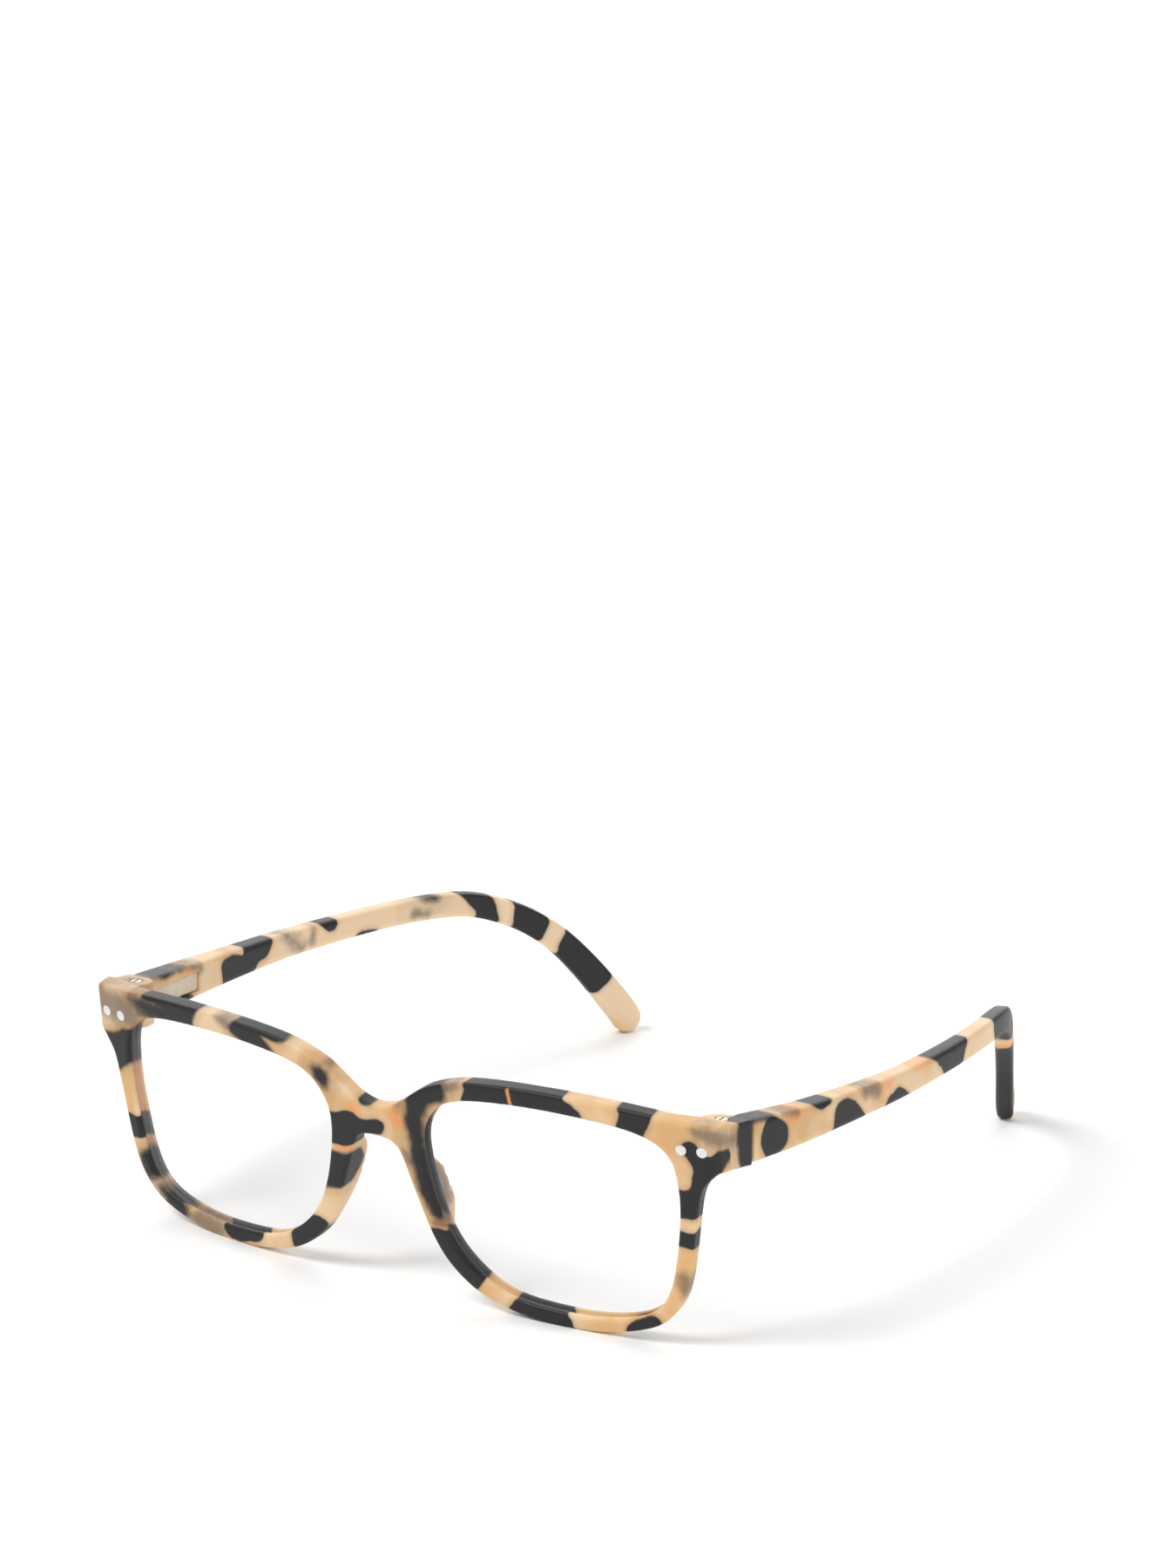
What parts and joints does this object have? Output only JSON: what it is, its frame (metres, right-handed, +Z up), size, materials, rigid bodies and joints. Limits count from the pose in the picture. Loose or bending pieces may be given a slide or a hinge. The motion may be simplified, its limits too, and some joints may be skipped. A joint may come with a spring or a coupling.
{
  "type": "reading glasses",
  "caption": "Full-rim reading glasses with rounded-square lenses, moulded nose pads and folding temples on spring hinges.",
  "frame": {"origin": "centre of the open glasses at floor level, on the plane of the flats that the rims stand on", "axes": "+Z up, +Y from the front back along the temples, +X towards the wearer's left"},
  "size_m": [0.1458, 0.1497, 0.046],
  "materials": {
    "tortoise_plastic": "soft matte, translucent honey with charcoal and amber patches",
    "lens": "clear, anti-reflective",
    "trim_metal": "satin silver",
    "screw_steel": "satin",
    "insert_plastic": "matte light greige",
    "spring_steel": "drawn wire",
    "insert_brass": "machined"
  },
  "bodies": {
    "front": {"front_frame": "tortoise_plastic", "lens_left": "lens", "trim_pin_left_inner": "trim_metal", "trim_pin_left_outer": "trim_metal", "hinge_screw_left": "screw_steel", "screw_insert_left": "insert_brass", "lens_right": "lens", "trim_pin_right_inner": "trim_metal", "trim_pin_right_outer": "trim_metal", "hinge_screw_right": "screw_steel", "screw_insert_right": "insert_brass"},
    "hinge_left": {"hinge_eye_left": "screw_steel", "spring_nut_left": "insert_brass", "flex_spring_left": "spring_steel"},
    "arm_left": {"temple_left": "tortoise_plastic", "hinge_cover_left": "insert_plastic"},
    "hinge_right": {"hinge_eye_right": "screw_steel", "spring_nut_right": "insert_brass", "flex_spring_right": "spring_steel"},
    "arm_right": {"temple_right": "tortoise_plastic", "hinge_cover_right": "insert_plastic"}
  },
  "joints": [
    {"name": "fold_left", "type": "hinge", "parent": "front", "child": "hinge_left", "pos_m": [0.06627, -0.0602, 0.03872], "axis": [0, 0, 1], "range_deg": [0, 80]},
    {"name": "flex_left", "type": "slide", "parent": "hinge_left", "child": "arm_left", "axis": [0.108, 0.9918, -0.0687], "range_m": [0, 0.0009], "stiffness_N_per_m": 2000, "springref_m": -0.0005, "deforming": ["flex_spring_left"]},
    {"name": "fold_right", "type": "hinge", "parent": "front", "child": "hinge_right", "pos_m": [-0.06627, -0.0602, 0.03872], "axis": [0, 0, -1], "range_deg": [0, 66]},
    {"name": "flex_right", "type": "slide", "parent": "hinge_right", "child": "arm_right", "axis": [-0.108, 0.9918, -0.0687], "range_m": [0, 0.0009], "stiffness_N_per_m": 2000, "springref_m": -0.0005, "deforming": ["flex_spring_right"]}
  ]
}
